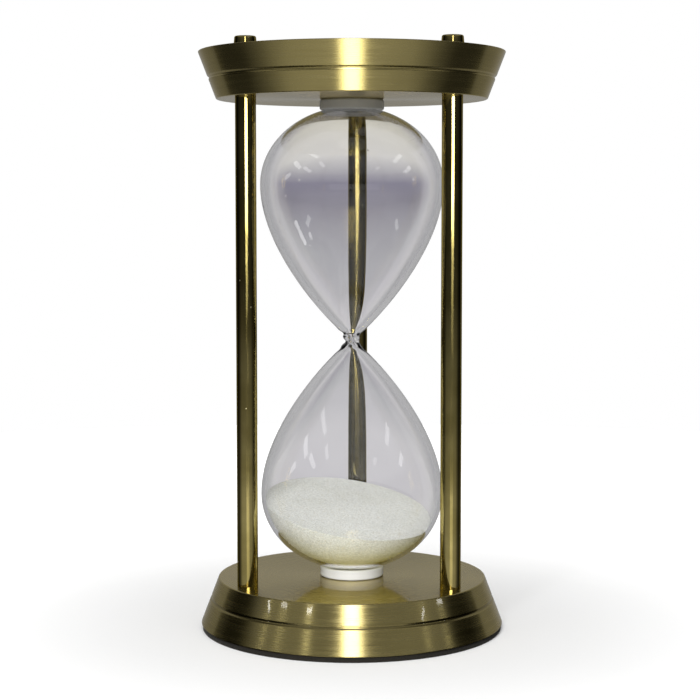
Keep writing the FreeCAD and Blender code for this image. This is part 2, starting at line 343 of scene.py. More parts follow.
# %% Polished brass
def polished_brass(name):
    """Mirror brass with faint strokes along the piece and tiny pits."""
    material, tree, shader, place = new_finish(name)
    along = add(tree, "Mapping", {"Vector": place, "Scale": (1.0, 1.0, 0.04)}).outputs[0]
    strokes = grain(tree, along, 1900.0, 2.0)
    cloud = grain(tree, place, 70.0, 3.0)
    cells = add(tree, "TexVoronoi", {"Vector": place, "Scale": 260.0}).outputs
    pits = spread(tree, cells["Distance"], 0.05, 0.12, 1.0, 0.0)
    chosen = spread(tree, grain(tree, place, 160.0, 0.0), 0.62, 0.66)
    specks = maths(tree, "MULTIPLY", pits, chosen)
    metal = blend_colours(tree, spread(tree, cloud, 0.3, 0.7), BRASS_DEEP, BRASS_LIGHT)
    tinted = blend_colours(tree, maths(tree, "MULTIPLY", specks, 0.7), metal, colour(0.75, 0.70, 0.5))
    tree.links.new(tinted, shader.inputs["Base Color"])
    haze = spread(tree, strokes, 0.3, 0.7, 0.06, 0.12)
    tree.links.new(maths(tree, "MULTIPLY_ADD", specks, 0.3, haze), shader.inputs["Roughness"])
    lines = relief(tree, strokes, 0.002 * MM)
    tree.links.new(relief(tree, specks, 0.02 * MM, normal=lines), shader.inputs["Normal"])
    shader.inputs["Metallic"].default_value = 1.0
    shader.inputs["Specular Tint"].default_value = colour(0.42, 0.36, 0.20)
    return material


mirror_brass = polished_brass("mirror_brass")
print("brass finishes:", base_brass.name, top_brass.name, mirror_brass.name)

# %% [markdown]
# ## Steel, pad and seats
# The rods, nuts and washers inside the stand are zinc plated steel: greyish, slightly clouded crystals
# over fine drawing lines. The pad is thin dark foam, all tiny cells and no gloss. The seats are soft
# white plastic, moulded, with a faint sheen and a breath of light under the skin.

# %% Steel, pad and seat finishes
def zinc_steel():
    """Zinc plate over drawn steel."""
    material, tree, shader, place = new_finish("zinc_steel")
    spangle = add(tree, "TexVoronoi", {"Vector": place, "Scale": 900.0}).outputs["Color"]
    drawn = add(tree, "Mapping", {"Vector": place, "Scale": (1.0, 1.0, 0.05)}).outputs[0]
    lines = grain(tree, drawn, 3000.0)
    tone = maths(tree, "MULTIPLY_ADD", add(tree, "SeparateColor", {0: spangle}).outputs[0], 0.5, 0.2)
    metal = blend_colours(tree, tone, colour(0.46, 0.47, 0.48), colour(0.70, 0.70, 0.67))
    tree.links.new(metal, shader.inputs["Base Color"])
    tree.links.new(spread(tree, lines, 0.3, 0.7, 0.26, 0.42), shader.inputs["Roughness"])
    tree.links.new(relief(tree, lines, 0.01 * MM), shader.inputs["Normal"])
    shader.inputs["Metallic"].default_value = 1.0
    return material


def dark_foam():
    """Thin foam with tiny open cells."""
    material, tree, shader, place = new_finish("dark_foam")
    cells = add(tree, "TexVoronoi", {"Vector": place, "Scale": 2200.0}).outputs["Distance"]
    dust = grain(tree, place, 400.0, 4.0)
    foam = blend_colours(tree, spread(tree, cells, 0.0, 0.6), colour(0.010, 0.009, 0.007),
                         colour(0.035, 0.030, 0.022))
    dusty = blend_colours(tree, spread(tree, dust, 0.6, 0.9, 0.0, 0.3), foam, colour(0.09, 0.08, 0.06))
    tree.links.new(dusty, shader.inputs["Base Color"])
    tree.links.new(relief(tree, cells, 0.15 * MM), shader.inputs["Normal"])
    tree.links.new(spread(tree, dust, 0.2, 0.8, 0.8, 0.95), shader.inputs["Roughness"])
    shader.inputs["Sheen Weight"].default_value = 0.1
    return material


def white_plastic():
    """Soft moulded white plastic."""
    material, tree, shader, place = new_finish("white_plastic")
    skin = grain(tree, place, 1400.0, 3.0)
    cloud = grain(tree, place, 120.0, 2.0)
    tone = blend_colours(tree, cloud, colour(0.80, 0.80, 0.78), colour(0.90, 0.90, 0.885))
    tree.links.new(tone, shader.inputs["Base Color"])
    tree.links.new(spread(tree, skin, 0.3, 0.7, 0.38, 0.52), shader.inputs["Roughness"])
    tree.links.new(relief(tree, skin, 0.01 * MM), shader.inputs["Normal"])
    shader.inputs["Subsurface Weight"].default_value = 0.25
    shader.inputs["Subsurface Radius"].default_value = (0.9, 0.9, 0.8)
    shader.inputs["Subsurface Scale"].default_value = 0.6 * MM
    return material


steel, foam, plastic = zinc_steel(), dark_foam(), white_plastic()
print("finishes:", steel.name, foam.name, plastic.name)

# %% [markdown]
# ## Blown glass
# The glass is clear, with the slightest cool tint. Blown glass is never quite even: its wall swells and
# thins by hundredths of a millimetre, which makes reflections lazy, and it holds a few tiny seeds,
# the maker's name for trapped bubbles. Both are relief here, because neither changes the outline.

# %% Glass finish
def blown_glass():
    """Clear soda glass with lazy ripples and a few seeds."""
    material, tree, shader, place = new_finish("blown_glass")
    ripple = grain(tree, place, 45.0, 2.0)
    cells = add(tree, "TexVoronoi", {"Vector": place, "Scale": 170.0}).outputs["Distance"]
    chosen = spread(tree, grain(tree, place, 60.0, 0.0), 0.66, 0.68)
    seeds = maths(tree, "MULTIPLY", spread(tree, cells, 0.03, 0.08, 1.0, 0.0), chosen)
    tint = blend_colours(tree, spread(tree, ripple, 0.3, 0.7), colour(0.955, 0.95, 0.97),
                         colour(0.975, 0.972, 0.985))
    tree.links.new(tint, shader.inputs["Base Color"])
    swell = relief(tree, ripple, 0.06 * MM)
    tree.links.new(relief(tree, seeds, 0.03 * MM, normal=swell), shader.inputs["Normal"])
    tree.links.new(spread(tree, ripple, 0.3, 0.7, 0.0, 0.015), shader.inputs["Roughness"])
    shader.inputs["Transmission Weight"].default_value = 1.0
    shader.inputs["IOR"].default_value = 1.47
    return material


clear_glass = blown_glass()
print("glass finish:", clear_glass.name)

# %% [markdown]
# ## Sand
# Seen close, hourglass sand is a mix of pale quartz grains with a few honey and grey ones. Each grain
# is about a quarter of a millimetre, so single grains are just about visible on the surface.

# %% Sand finish
GRAIN = 0.28 * MM


def fine_sand():
    """Off-white quartz sand."""
    material, tree, shader, place = new_finish("fine_sand")
    cells = add(tree, "TexVoronoi", {"Vector": place, "Scale": 1.0 / GRAIN}).outputs
    pick = add(tree, "SeparateColor", {0: cells["Color"]}).outputs
    cloud = grain(tree, place, 90.0, 3.0)
    pale = blend_colours(tree, pick[0], colour(0.72, 0.715, 0.66), colour(0.88, 0.875, 0.83))
    honey = spread(tree, pick[1], 0.90, 0.96, 0.0, 0.55)
    clumps = spread(tree, grain(tree, place, 1300.0, 2.0, 0.8), 0.30, 0.70, 0.80, 1.06)
    mixed = blend_colours(tree, honey, pale, colour(0.52, 0.42, 0.24))
    drift = blend_colours(tree, spread(tree, cloud, 0.35, 0.7, 0.0, 0.25), mixed,
                          colour(0.66, 0.65, 0.56))
    speckled = blend_colours(tree, 1.0, drift, clumps, "MULTIPLY")
    tree.links.new(speckled, shader.inputs["Base Color"])
    tree.links.new(spread(tree, pick[2], 0.0, 1.0, 0.55, 0.95), shader.inputs["Roughness"])
    bed = relief(tree, cells["Distance"], -0.12 * MM)
    tree.links.new(relief(tree, cloud, 0.25 * MM, normal=bed), shader.inputs["Normal"])
    shader.inputs["Specular IOR Level"].default_value = 0.35
    return material


sand_grains = fine_sand()
print("sand finish:", sand_grains.name)

# %% [markdown]
# ## The two plates
# Each plate is a hollow cone frustum with a level deck, a turned groove round its side and a rebate
# for its closing disc. The section goes over the deck, down the cone, through the groove, round the
# rim and back inside. The upper plate is the same section turned over, so its heights are counted
# from its own rim. The seat's hole is part of the section, and the pillars' holes are drilled later.

# %% The plate's section
groove_half_width = 0.75 * MM
groove_depth = 0.6 * MM
edge_round = 0.4 * MM
cover_thickness = 1.2 * MM
cover_hole_radius = 58.25 * MM
seat_hole_radius = 7.55 * MM


def cone_radius(up):
    """Outer radius of a plate at a height over its rim."""
    return plate_rim_radius - (plate_rim_radius - plate_deck_radius) * up / plate_height


def plate_section(rim_z, side):
    """Corners of a plate; side is 1 where the deck is over the rim, -1 where it is under."""
    ceiling = plate_height - deck_thickness
    inside_rim = plate_rim_radius - skirt_wall
    inside_deck = cone_radius(ceiling) - skirt_wall
    groove = groove_from_rim
    groove_top, groove_foot = groove + groove_half_width, groove - groove_half_width
    steps = [
        (seat_hole_radius, plate_height, 0.15 * MM),
        (plate_deck_radius, plate_height, edge_round),
        (cone_radius(groove_top), groove_top, 0.2 * MM),
        (cone_radius(groove) - groove_depth, groove, 0.45 * MM),
        (cone_radius(groove_foot), groove_foot, 0.2 * MM),
        (plate_rim_radius, 0.0, edge_round),
        (cover_hole_radius, 0.0, 0.1 * MM),
        (cover_hole_radius, cover_thickness, 0.0),
        (inside_rim, cover_thickness, 0.0),
        (inside_deck, ceiling, 1.0 * MM),
        (seat_hole_radius, ceiling, 0.15 * MM),
    ]
    return [(radius, rim_z + side * up, rounding) for radius, up, rounding in steps]


print("plate corners:", len(plate_section(base_rim_z, 1)), "height in mm:", round(plate_height / MM, 1))

# %% [markdown]
# ### The holes
# The pillars and nuts cover the holes, but the mesh is a part in its own right, so it is drilled as a
# real plate is: one boolean cut with stepped drills, wide for the sockets and narrow for the rods.

# %% Drill and make the plates
socket_radius = 4.05 * MM
socket_depth = 1.0 * MM
rod_hole_radius = 2.75 * MM
drill_clearance = 1.0 * MM


def drill(piece, tools):
    """Cut stepped round holes out of a piece; each tool is an axis and its turned section."""
    shape = bpy.data.meshes.new("drills")
    for axis, section in tools:
        bm = turned(section, axis, segments=64)
        bm.from_mesh(shape)
        bm.to_mesh(shape)
        bm.free()
    drills = bpy.data.objects.new("drills", shape)
    bpy.context.scene.collection.objects.link(drills)
    cut = piece.modifiers.new("holes", "BOOLEAN")
    cut.object, cut.operation, cut.solver = drills, "DIFFERENCE", "EXACT"
    shaped = piece.evaluated_get(bpy.context.evaluated_depsgraph_get())
    drilled = bpy.data.meshes.new_from_object(shaped)
    piece.modifiers.remove(cut)
    piece.data = drilled
    bpy.data.objects.remove(drills)


def pillar_tool(deck, side):
    """Section of the stepped drill for a pillar's socket and its rod."""
    above, below = drill_clearance, deck_thickness + drill_clearance
    steps = [(0.0, above), (socket_radius, above), (socket_radius, -socket_depth),
             (rod_hole_radius, -socket_depth), (rod_hole_radius, -below), (0.0, -below)]
    return [(radius, deck + side * up, 0.0) for radius, up in steps]


def make_plate(name, rim_z, side, finish):
    """One plate, turned and drilled."""
    bm = turned(plate_section(rim_z, side), closed=True, segments=192)
    plate = make_piece(bm, name, finish, "satin_brass", "stand", name.replace("brass_", ""))
    plate.modifiers.clear()
    tool = pillar_tool(rim_z + side * plate_height, side)
    drill(plate, [(axis, tool) for axis in pillar_axes.values()])
    smooth_piece(plate)
    print(name, "faces after drilling:", len(plate.data.polygons))
    return plate


brass_base_plate = make_plate("brass_base_plate", base_rim_z, 1, base_brass)
brass_top_plate = make_plate("brass_top_plate", top_rim_z, -1, top_brass)

# %% [markdown]
# ## Pillars and cap nuts
# A pillar is a plain tube, standing one millimetre deep in a socket at each end. A cap nut is a short
# tapered head with a shank that goes down into the plate, and a blind hole for the rod.

# %% Turn the pillars and the caps
pillar_radius = 4.0 * MM
pillar_bore = 2.8 * MM
cap_foot_radius = 4.5 * MM
cap_crown_radius = 4.1 * MM
cap_shank_radius = 3.5 * MM
cap_shank_length = 8.0 * MM
cap_crown_thickness = 1.3 * MM
thread_radius = 2.55 * MM


def make_pillar(side):
    """One tube between the plates."""
    low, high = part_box("pillar_" + side)
    corners = [(pillar_radius, low.z, 0.2 * MM), (pillar_radius, high.z, 0.2 * MM),
               (pillar_bore, high.z, 0.1 * MM), (pillar_bore, low.z, 0.1 * MM)]
    bm = turned(corners, pillar_axes[side], closed=True)
    name = "pillar_" + side
    return make_piece(bm, "brass_" + name, mirror_brass, "polished_brass", "stand", name)


def make_cap(side):
    """One blind cap nut with its shank."""
    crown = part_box("cap_nut_" + side)[1].z
    blind = crown - cap_crown_thickness
    shank_end = top_rim_z - cap_shank_length
    corners = [(0.0, crown, 0.0), (cap_crown_radius, crown, 0.6 * MM),
               (cap_foot_radius, top_rim_z, 0.12 * MM), (cap_shank_radius, top_rim_z, 0.0),
               (cap_shank_radius, shank_end, 0.3 * MM), (thread_radius, shank_end, 0.0),
               (thread_radius, blind, 0.3 * MM), (0.0, blind, 0.0)]
    bm = turned(corners, pillar_axes[side])
    name = "cap_nut_" + side
    return make_piece(bm, "brass_" + name, mirror_brass, "polished_brass", "stand", name)


brass_pillars = [make_pillar(side) for side in SIDES]
brass_caps = [make_cap(side) for side in SIDES]

# %% [markdown]
# ## Curves for glass
# The wall of a bulb is an ellipse from its pole to its widest place, then one long Bezier curve down to
# the neck. Both are drawn with Blender's own Bezier points: an arc needs handles of 4/3 of the tangent
# of a quarter of its angle. The neck is a small round, and each end of the tube is a half ball.

# %% Curves for glass
bulb_radius = 36.0 * MM
dome_height = 30.5 * MM
glass_wall = 1.4 * MM
neck_radius = 2.9 * MM
neck_bore = 0.8 * MM
neck_round = 4.5 * MM
flank_lean = math.radians(48)
flank_hold_bulb = 0.80
flank_hold_neck = 0.30
tube_radius = 4.5 * MM
tube_bore = 3.1 * MM
tube_tip = glass_high.z - neck_z
pole_height = tube_tip - 7.5 * MM
widest_height = pole_height - dome_height


def bezier(points, count):
    """Points along one Bezier curve, as (radius, height) pairs."""
    flat = [Vector((radius, height, 0.0)) for radius, height in points]
    return [(p.x, p.y) for p in interpolate_bezier(*flat, count)]


def ellipse_part(centre, wide, tall, start, stop, count):
    """Part of an upright ellipse between two angles from the level direction."""
    pull = 4 / 3 * math.tan((stop - start) / 4)
    ends = []
    for angle, way in ((start, pull), (stop, -pull)):
        end = (centre[0] + wide * math.cos(angle), centre[1] + tall * math.sin(angle))
        handle = (end[0] - way * wide * math.sin(angle), end[1] + way * tall * math.cos(angle))
        ends.append((end, handle))
    (first, first_handle), (last, last_handle) = ends
    return bezier([first, first_handle, last_handle, last], count)


def flank(wide, start):
    """The long wall from the neck's round to the widest place, level with both."""
    corner = start[1] + (wide - start[0]) / math.tan(flank_lean)
    hold_neck = (start[0] + (wide - start[0]) * flank_hold_neck,
                 start[1] + (corner - start[1]) * flank_hold_neck)
    hold_bulb = (wide, widest_height + (corner - widest_height) * flank_hold_bulb)
    return bezier([start, hold_neck, hold_bulb, (wide, widest_height)], 44)


def half_wall(wide, tall, throat, tube, tip):
    """One wall of one bulb, from the middle of the neck to the closed end of the tube."""
    sweep = neck_radius + neck_round - throat
    neck = ellipse_part((throat + sweep, 0.0), sweep, sweep, math.pi, math.pi - flank_lean, 12)
    start = neck[-1]
    tube_angle = math.acos(tube / wide)
    dome = ellipse_part((0.0, widest_height), wide, tall, 0.0, math.pi / 4, 20)
    dome += ellipse_part((0.0, widest_height), wide, tall, math.pi / 4, tube_angle, 16)[1:]
    tip_ball = ellipse_part((0.0, tip - tube), tube, tube, 0.0, math.pi / 2, 10)
    return neck + flank(wide, start)[1:] + dome[1:] + tip_ball


def full_wall(*sizes):
    """Both bulbs, from the lower tip to the upper one, as heights over the floor."""
    half = half_wall(*sizes)
    whole = [(r, -z) for r, z in reversed(half)] + half[1:]
    return [(r, neck_z + z) for r, z in whole]


outer_wall = full_wall(bulb_radius, dome_height, neck_radius, tube_radius, tube_tip)
inner_wall = full_wall(bulb_radius - glass_wall, dome_height - glass_wall, neck_bore, tube_bore,
                       tube_tip - (tube_radius - tube_bore))
print("points in a wall:", len(outer_wall))

# %% [markdown]
# ## The blown glass
# One piece: an outer skin and an inner skin with 1.4 mm of glass between them. The inner one faces
# into the hollow, so it is turned round after its normals are made. The neck was pinched hot, which
# leaves a thick knot of uneven rings; the knot is pushed into the outer skin, ring by ring.

# %% Blow the glass
KNOT_REACH = 5.5 * MM
KNOT_DEPTH = 0.75 * MM


def spun_skin(wall, segments):
    """A closed skin turned from a wall."""
    bm = bmesh.new()
    draw_section(bm, [(radius, height, 0.0) for radius, height in wall], Vector(), closed=False)
    spin_section(bm, Vector(), segments)
    return bm


def knot_neck(bm):
    """Uneven rings round the pinched neck."""
    for vert in bm.verts:
        off = vert.co.z - neck_z
        if abs(off) < KNOT_REACH:
            fade = math.cos(math.pi / 2 * off / KNOT_REACH) ** 2
            ring = math.sin(off / (0.52 * MM))
            lump = noise.noise(Vector((vert.co.x, vert.co.y, off * 1.6)) * 330)
            push = 1 + fade * KNOT_DEPTH * (0.55 * ring + 1.2 * lump) / neck_radius
            vert.co.x *= push
            vert.co.y *= push


def glass_body():
    """Outer and inner skins as one closed glass."""
    outer = spun_skin(outer_wall, 144)
    knot_neck(outer)
    inner = spun_skin(inner_wall, 144)
    bmesh.ops.reverse_faces(inner, faces=inner.faces)
    hollow = bpy.data.meshes.new("hollow")
    inner.to_mesh(hollow)
    inner.free()
    outer.from_mesh(hollow)
    bpy.data.meshes.remove(hollow)
    return outer


blown_bulbs = make_piece(glass_body(), "blown_bulbs", clear_glass, "glass", "glass", "glass_bulb")

# %% [markdown]
# ## Sand
# The sand fills the lower bulb up to a slope, as it settles after the hourglass is carried. It could be
# a lump put in by eye, but it must follow the glass to a tenth of a millimetre, so it is turned from the
# inner wall, cut by the sloping plane, and its cut face is inset ring by ring until it is fine enough
# to be pushed into low ripples and single grains.

# %% Pour the sand
sand_gap = 0.1 * MM
sand_depth = 22.65 * MM
sand_slope = math.radians(13.8)
sand_downhill = math.radians(-47.0)
RIPPLE = 0.30 * MM
RINGS = 75
CALM_EDGE = 0.12


def sand_plane():
    """A point on the sand's top and the direction that it faces."""
    inner_pole = widest_height + dome_height - glass_wall
    on_axis = Vector((0.0, 0.0, neck_z - inner_pole + sand_depth))
    lean = math.sin(sand_slope)
    facing = Vector((lean * math.cos(sand_downhill), lean * math.sin(sand_downhill),
                     math.cos(sand_slope)))
    return on_axis, facing


def poured_sand():
    """The filling of the lower bulb, with a rippled top."""
    wall = half_wall(bulb_radius - glass_wall - sand_gap, dome_height - glass_wall - sand_gap,
                     neck_bore - sand_gap, tube_bore - sand_gap,
                     tube_tip - (tube_radius - tube_bore) - sand_gap)
    bm = spun_skin([(r, neck_z - z) for r, z in reversed(wall)], 256)
    on_axis, facing = sand_plane()
    bmesh.ops.bisect_plane(bm, geom=bm.verts[:] + bm.edges[:] + bm.faces[:], dist=MERGE,
                           plane_co=on_axis, plane_no=facing, clear_outer=True, clear_inner=False)
    rim = [edge for edge in bm.edges if edge.is_boundary]
    top = bmesh.ops.contextual_create(bm, geom=rim)["faces"]
    bmesh.ops.recalc_face_normals(bm, faces=bm.faces)
    print("sand's rim edges:", len(rim), "top faces:", len(top))
    raised = set()
    away = Matrix.Translation(-on_axis)
    for ring in range(RINGS):
        bmesh.ops.inset_region(bm, faces=top, thickness=0.0, use_boundary=True)
        inner = top[0].verts[:]
        shrink = (RINGS - ring) / (RINGS + 1 - ring)
        bmesh.ops.scale(bm, verts=inner, vec=(shrink, shrink, shrink), space=away)
        raised.update(inner)
    bmesh.ops.poke(bm, faces=top)
    for vert in raised:
        spot = vert.co.copy()
        calm = min(1.0, (1 - spot.xy.length / (bulb_radius - glass_wall)) / CALM_EDGE)
        swell = noise.noise(spot * 150) + 0.5 * noise.noise(spot * 420)
        vert.co.z += RIPPLE * max(0.0, calm) * (swell + 0.45 * noise.noise(spot * 2600))
    return bm


settled_sand = make_piece(poured_sand(), "settled_sand", sand_grains, "sand", "glass", "sand")

# %% [markdown]
# ## The white seats
# Each seat is a dished ring: the pole of the bulb rests over the dish, the fused tube end turns in the
# bore, and a spigot goes through the deck. The dish follows the bulb with a fifth of a millimetre to
# spare, so the glass turns freely.

# %% Turn the seats
seat_height = 4.1 * MM
seat_land = 0.9 * MM
seat_bore = 4.8 * MM
seat_spigot = 7.5 * MM
running_gap = 0.2 * MM
DISH_STEPS = 8


def seat_section(deck, side):
    """Corners of a seat; side is 1 on the base and -1 under the upper plate."""
    wide, tall = bulb_radius + running_gap, dome_height + running_gap
    centre = neck_z - deck - widest_height if side > 0 else deck - neck_z - widest_height
    dish = []
    lift = centre - seat_height
    rim = wide * math.sqrt(1 - (lift / tall) ** 2)
    for step in range(DISH_STEPS + 1):
        radius = seat_bore + (rim - seat_bore) * step / DISH_STEPS
        dish.append((radius, centre - tall * math.sqrt(1 - (radius / wide) ** 2), 0.0))
    outside = rim + seat_land
    ring = [(outside, seat_height, 0.8 * MM), (outside, 0.0, 0.9 * MM), (seat_spigot, 0.0, 0.0),
            (seat_spigot, -deck_thickness, 0.3 * MM), (seat_bore, -deck_thickness, 0.2 * MM)]
    return [(radius, deck + side * up, rounding) for radius, up, rounding in dish + ring]


def make_seat(name, deck, side):
    """One seat."""
    bm = turned(seat_section(deck, side), closed=True)
    return make_piece(bm, "white_" + name, plastic, "seat", "stand", name)


white_lower_seat = make_seat("lower_seat", base_deck_z, 1)
white_upper_seat = make_seat("upper_seat", top_deck_z, -1)

# %% [markdown]
# ## Pieces that keep their CAD shape
# The closing discs, the pad and the steel inside are already the right shape, so they only get their
# finishes. The discs are brushed brass like the plates.

# %% Finish the CAD pieces
def dress(finish, *names):
    """Give CAD pieces a finish."""
    for name in names:
        slots = nodes[name].data.materials
        slots.clear()
        slots.append(finish)


dress(base_brass, "base_cover")
dress(top_brass, "top_cover")
dress(foam, "base_pad")
for part in ("tie_rod_", "base_nut_", "base_washer_"):
    dress(steel, *[part + side for side in SIDES])
print("dressed CAD pieces")

# %% [markdown]
# ## Camera
# A long lens keeps the pillars upright. It stands above the hourglass's middle and looks slightly down,
# which shows the lower deck and hides the upper one.

# %% Camera
camera_distance = 0.6962
camera_height = 0.1677
camera_azimuth = math.radians(3.07)
camera_turn = math.radians(3.13)
camera_pitch = math.radians(4.70)
lens_mm, sensor_mm = 90.8, 36.0
nearest_seen = 0.01
camera = bpy.data.objects.new("camera", bpy.data.cameras.new("camera"))
camera.data.lens = lens_mm
camera.data.sensor_width = sensor_mm
camera.data.clip_start = nearest_seen
camera.location = (camera_distance * math.sin(camera_azimuth),
                   -camera_distance * math.cos(camera_azimuth), camera_height)
camera.rotation_euler = (math.pi / 2 - camera_pitch, 0.0, camera_turn)
bpy.context.scene.collection.objects.link(camera)
bpy.context.scene.camera = camera
print("camera at", [round(value, 3) for value in camera.location])

# %% [markdown]
# ## Floor and flags
# A white paper sheet lies under the hourglass and glows a little further out, to fade into the white
# behind. It isn't mirrored and sends no light back, so every piece can have lamps of its own. Two
# flags of black felt lie just under it, left and right: without them the lower bulb would mirror the
# low panels in front of its sand. They cast no shadow, and the camera doesn't see them.

# %% Floor and flags
floor_radius = 0.65
flag_radius = 0.085
flag_depth = 0.02
FLAG_PLACES = {"left_flag": (-0.135, -0.06), "right_flag": (0.14, -0.045)}


def white_sheet():
    """Matt white paper that glows a little away from the hourglass."""
    material, tree, place = bare_finish("white_sheet")
    fibre = grain(tree, place, 900.0, 3.0)
    paper = add(tree, "BsdfDiffuse", {"Color": blend_colours(tree, fibre, grey(0.90), grey(0.93))})
    away = add(tree, "VectorMath", {0: place}, operation="LENGTH").outputs["Value"]
    glow = add(tree, "Emission", {"Color": grey(1.0), "Strength": spread(tree, away, 0.07, 0.32, 0.0, 0.5)})
    both = add(tree, "AddShader", {0: paper.outputs[0], 1: glow.outputs[0]})
    add(tree, "OutputMaterial", {"Surface": both.outputs[0]})
    return material


def black_felt():
    """Black felt for the flags."""
    material, tree, place = bare_finish("black_felt")
    tone = blend_colours(tree, grain(tree, place, 900.0, 3.0), grey(0.004), grey(0.012))
    felt = add(tree, "BsdfDiffuse", {"Color": tone})
    add(tree, "OutputMaterial", {"Surface": felt.outputs[0]})
    return material


def round_card(name, centre, radius, finish):
    """A level round card that belongs to the studio."""
    bm = bmesh.new()
    bmesh.ops.create_circle(bm, cap_ends=True, cap_tris=False, segments=96, radius=radius,
                            matrix=Matrix.Translation(centre))
    mesh = bpy.data.meshes.new(name)
    bm.to_mesh(mesh)
    bm.free()
    mesh.materials.append(finish)
    card = bpy.data.objects.new(name, mesh)
    bpy.context.scene.collection.objects.link(card)
    card.visible_diffuse = False
    card.visible_transmission = False
    return card


floor_sheet = round_card("floor_sheet", (0.0, 0.0, 0.0), floor_radius, white_sheet())
floor_sheet.visible_glossy = False
for name, (x, y) in FLAG_PLACES.items():
    flag = round_card(name, (x, y, -flag_depth), flag_radius, black_felt())
    flag.visible_camera = False
    flag.visible_shadow = False
print("floor radius:", floor_radius, "flags:", len(FLAG_PLACES))

# %% [markdown]
# ## The room
# The room is a world shader, because a few ramps are easier to tune than walls. It picks a brightness
# from a ray's direction and from how the ray came there. A direction has a frontness, from -1
# straight behind to 1 straight in front, and a height, the sine of its elevation.

# %% Directions in the room
def ramp(tree, factor, stops):
    """A ramp of grey or coloured stops."""
    node = add(tree, "ValToRGB", {"Fac": factor})
    elements = node.color_ramp.elements
    while len(elements) < len(stops):
        elements.new(0.5)
    for element, (position, tone) in zip(elements, stops):
        element.position = position
        element.color = tone
    return node.outputs["Color"]


world = bpy.data.worlds.new("studio")
bpy.context.scene.world = world
world.use_nodes = True
room = world.node_tree
room.nodes.clear()
way = add(room, "TexCoord").outputs["Generated"]
parts = add(room, "SeparateXYZ", {0: way}).outputs
tilt = maths(room, "SUBTRACT", 1.0, maths(room, "MULTIPLY", parts["Z"], parts["Z"]))
level = maths(room, "SQRT", maths(room, "MAXIMUM", tilt, 1e-4))
frontness = maths(room, "DIVIDE", maths(room, "MULTIPLY", parts["Y"], -1.0), level)
print("room nodes for directions:", len(room.nodes))

# %% [markdown]
# What metal mirrors: grey in front, nearly black at the sides, dim behind. The dark sides give polished
# brass its dark edges, and a dark band round the horizon keeps the pillars dark between their lines.

# %% What metal mirrors
BAND_STARTS = (-0.5, -0.3)
AROUND_LOW = [(0.0, 0.33), (0.10, 0.20), (0.215, 0.17), (0.225, 0.035), (0.48, 0.035), (0.64, 0.16),
              (0.80, 0.40), (1.0, 0.48)]
AROUND_HIGH = [(0.0, 0.36), (0.10, 0.28), (0.215, 0.27), (0.225, 0.045), (0.46, 0.045), (0.58, 0.34),
               (0.80, 0.32), (1.0, 0.24)]
HORIZON = [(0.0, 1.0), (0.41, 0.9), (0.435, 0.42), (0.455, 0.28), (0.475, 0.08), (0.63, 0.08),
           (0.66, 1.0)]


def grey_ramp(factor, stops):
    """A ramp of greys in the room."""
    return ramp(room, factor, [(position, grey(value)) for position, value in stops])


front_share = spread(room, frontness, -1.0, 1.0, smooth=False)
around = blend_colours(room, spread(room, parts["Z"], -0.1, 0.3), grey_ramp(front_share, AROUND_LOW),
                       grey_ramp(front_share, AROUND_HIGH))
horizon = grey_ramp(spread(room, parts["Z"], -1.0, 1.0, smooth=False), HORIZON)
banded = blend_colours(room, 1.0, around, horizon, "MULTIPLY")
mirrored = blend_colours(room, spread(room, frontness, *BAND_STARTS), around, banded)
print("room nodes with mirrors:", len(room.nodes))

# %% [markdown]
# What the clear glass shows: a soft card behind the hourglass, a little to the left. From the foot up
# it is pale, then a dark lavender band, then cream, and to the sides it goes over to grey.

# %% What the glass shows
CARD_X = 0.0546
CARD_HEIGHTS = (-0.4, 0.3)
CARD_FADE = (0.065, 0.15)
SIDE_FADE = (0.13, 0.19)
CARD_PALE = colour(0.64, 0.63, 0.64)
CARD_MIST = colour(0.50, 0.50, 0.51)
CARD_BAND = colour(0.28, 0.27, 0.31)
CARD_LAVENDER = colour(0.29, 0.28, 0.34)
CARD_CREAM = colour(0.76, 0.75, 0.70)
CARD_TOP = colour(0.84, 0.82, 0.71)
CARD_STOPS = [(0.43, CARD_PALE), (0.48, CARD_MIST), (0.55, CARD_BAND), (0.59, CARD_LAVENDER),
              (0.64, CARD_CREAM), (0.75, CARD_TOP)]

card_height = spread(room, parts["Z"], *CARD_HEIGHTS, smooth=False)
card_middle = ramp(room, card_height, CARD_STOPS)
off_card = maths(room, "ABSOLUTE", maths(room, "ADD", parts["X"], CARD_X))
card_side = blend_colours(room, spread(room, off_card, *SIDE_FADE), colour(0.70, 0.69, 0.68), grey(0.50))
card = blend_colours(room, spread(room, off_card, *CARD_FADE), card_middle, card_side)
print("stops in the card:", len(CARD_STOPS))

# %% [markdown]
# Which of them a ray sees: matt pieces get one even grey, the camera sees white, and light that only
# went through glass sees the card. Light that then left metal towards the front sees what metal
# mirrors. The rear pillar is seen through a bulb and mirrors the front back through it, so rays that
# went both ways are told from the rest by their depth, and meet a bright card of their own in front.

# %% Put the room together
MATT_GREY = grey(0.16)
BOTH_WAYS_DEPTH = 4.5
FORWARD = -0.3
TUBE_DARK = grey(0.02)
TUBE_CARD_EDGE = (0.82, 0.84)
TUBE_CARD = [(0.0, 0.04), (0.49, 0.07), (0.525, 1.0), (0.70, 1.0), (0.725, 0.01)]
seen_by = add(room, "LightPath").outputs
lit = blend_colours(room, seen_by["Is Diffuse Ray"], mirrored, MATT_GREY)
bounced = maths(room, "GREATER_THAN", seen_by["Glossy Depth"], 0.5)
both_ways = maths(room, "GREATER_THAN", seen_by["Transmission Depth"], BOTH_WAYS_DEPTH)
forward = maths(room, "GREATER_THAN", frontness, FORWARD)
off_metal = maths(room, "MULTIPLY", bounced, maths(room, "MAXIMUM", both_ways, forward))
straight = maths(room, "MULTIPLY", seen_by["Is Transmission Ray"],
                 maths(room, "SUBTRACT", 1.0, off_metal))
